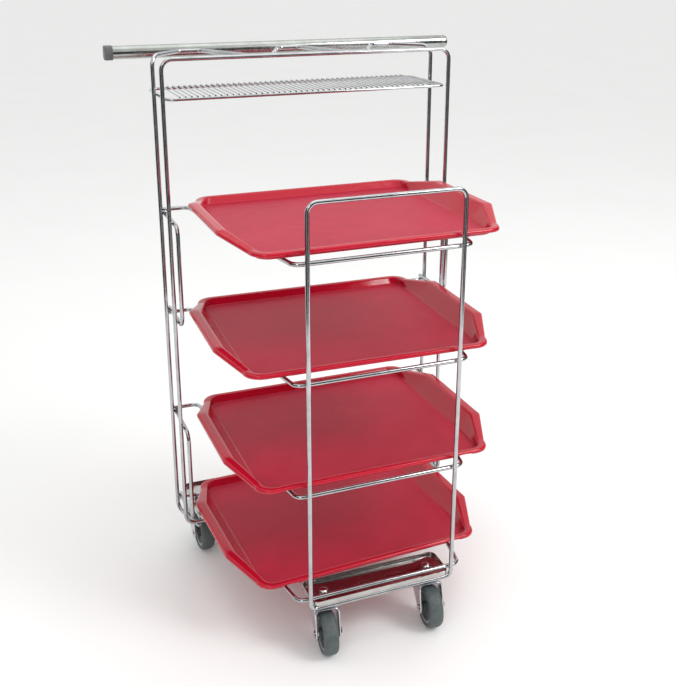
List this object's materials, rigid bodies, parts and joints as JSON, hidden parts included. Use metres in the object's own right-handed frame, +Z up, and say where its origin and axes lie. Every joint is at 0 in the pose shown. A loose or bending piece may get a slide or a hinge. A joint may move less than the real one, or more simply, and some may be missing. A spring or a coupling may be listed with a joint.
{
  "type": "tray trolley",
  "caption": "Wire-frame tray trolley on swivel casters, with loose slide-in trays, a cup shelf and a push handle.",
  "frame": {"origin": "middle of the footprint's bounding box, on the floor", "axes": "+Z up, +X to the right as seen from the front, -Y towards the front frame, +Y towards the push handle"},
  "size_m": [0.716, 0.5622, 1.0505],
  "materials": {
    "chrome_wire": "bright chrome plate on drawn wire and tube",
    "pan_sheet": "bright zinc-plated sheet",
    "caster_steel": "zinc-plated pressed steel",
    "fastener": "bright plated steel",
    "cap_plastic": "dark grey moulded plastic",
    "tray_plastic": "red moulded plastic, glossy walls and a finely textured floor",
    "hub_plastic": "dark grey moulded plastic",
    "tyre_rubber": "dark grey rubber"
  },
  "bodies": {
    "frame": {"rear_outer_frame": "chrome_wire", "rear_inner_frame": "chrome_wire", "front_frame": "chrome_wire", "shelf_wire_1": "chrome_wire", "shelf_wire_2": "chrome_wire", "shelf_wire_3": "chrome_wire", "base_wire": "chrome_wire", "side_loop_upper_left": "chrome_wire", "side_loop_upper_right": "chrome_wire", "side_loop_lower_left": "chrome_wire", "side_loop_lower_right": "chrome_wire", "cup_shelf_rim": "chrome_wire", "cup_shelf_grid": "chrome_wire", "handle_tube": "chrome_wire", "handle_cap_left": "cap_plastic", "handle_cap_right": "chrome_wire", "front_pan": "pan_sheet", "rear_pan": "pan_sheet", "dome_nuts": "fastener", "front_left_bearing_cap": "caster_steel", "front_left_kingpin": "caster_steel", "front_right_bearing_cap": "caster_steel", "front_right_kingpin": "caster_steel", "rear_left_bearing_cap": "caster_steel", "rear_left_kingpin": "caster_steel", "rear_right_bearing_cap": "caster_steel", "rear_right_kingpin": "caster_steel"},
    "tray_1": {"tray_1": "tray_plastic"},
    "tray_2": {"tray_2": "tray_plastic"},
    "tray_3": {"tray_3": "tray_plastic"},
    "tray_4": {"tray_4": "tray_plastic"},
    "front_left_fork": {"front_left_fork": "caster_steel", "front_left_axle_bolt": "fastener", "front_left_axle_nut": "fastener"},
    "front_left_wheel": {"front_left_hub": "hub_plastic", "front_left_tyre": "tyre_rubber"},
    "front_right_fork": {"front_right_fork": "caster_steel", "front_right_axle_bolt": "fastener", "front_right_axle_nut": "fastener"},
    "front_right_wheel": {"front_right_hub": "hub_plastic", "front_right_tyre": "tyre_rubber"},
    "rear_left_fork": {"rear_left_fork": "caster_steel", "rear_left_axle_bolt": "fastener", "rear_left_axle_nut": "fastener"},
    "rear_left_wheel": {"rear_left_hub": "hub_plastic", "rear_left_tyre": "tyre_rubber"},
    "rear_right_fork": {"rear_right_fork": "caster_steel", "rear_right_axle_bolt": "fastener", "rear_right_axle_nut": "fastener"},
    "rear_right_wheel": {"rear_right_hub": "hub_plastic", "rear_right_tyre": "tyre_rubber"}
  },
  "joints": [
    {"name": "tray_1_slide", "type": "slide", "parent": "frame", "child": "tray_1", "axis": [0, 1, 0], "range_m": [-0.006, 0.45]},
    {"name": "tray_2_slide", "type": "slide", "parent": "frame", "child": "tray_2", "axis": [0, 1, 0], "range_m": [-0.006, 0.45]},
    {"name": "tray_3_slide", "type": "slide", "parent": "frame", "child": "tray_3", "axis": [0, 1, 0], "range_m": [-0.006, 0.45]},
    {"name": "tray_4_slide", "type": "slide", "parent": "frame", "child": "tray_4", "axis": [0, 1, 0], "range_m": [-0.006, 0.45]},
    {"name": "front_left_swivel", "type": "hinge", "parent": "frame", "child": "front_left_fork", "pos_m": [-0.104, -0.21144, 0.09], "axis": [0, 0, 1], "continuous": true},
    {"name": "front_left_roll", "type": "hinge", "parent": "front_left_fork", "child": "front_left_wheel", "pos_m": [-0.10753, -0.24022, 0.04], "axis": [0.9925, -0.1219, 0], "continuous": true},
    {"name": "front_right_swivel", "type": "hinge", "parent": "frame", "child": "front_right_fork", "pos_m": [0.104, -0.21144, 0.09], "axis": [0, 0, 1], "continuous": true},
    {"name": "front_right_roll", "type": "hinge", "parent": "front_right_fork", "child": "front_right_wheel", "pos_m": [0.10097, -0.24028, 0.04], "axis": [0.9945, -0.1045, 0], "continuous": true},
    {"name": "rear_left_swivel", "type": "hinge", "parent": "frame", "child": "rear_left_fork", "pos_m": [-0.238, 0.19456, 0.09], "axis": [0, 0, 1], "continuous": true},
    {"name": "rear_left_roll", "type": "hinge", "parent": "rear_left_fork", "child": "rear_left_wheel", "pos_m": [-0.23648, 0.1656, 0.04], "axis": [0.9986, 0.0523, 0], "continuous": true},
    {"name": "rear_right_swivel", "type": "hinge", "parent": "frame", "child": "rear_right_fork", "pos_m": [0.238, 0.19456, 0.09], "axis": [0, 0, 1], "continuous": true},
    {"name": "rear_right_roll", "type": "hinge", "parent": "rear_right_fork", "child": "rear_right_wheel", "pos_m": [0.24053, 0.16567, 0.04], "axis": [0.9962, 0.0872, 0], "continuous": true}
  ]
}
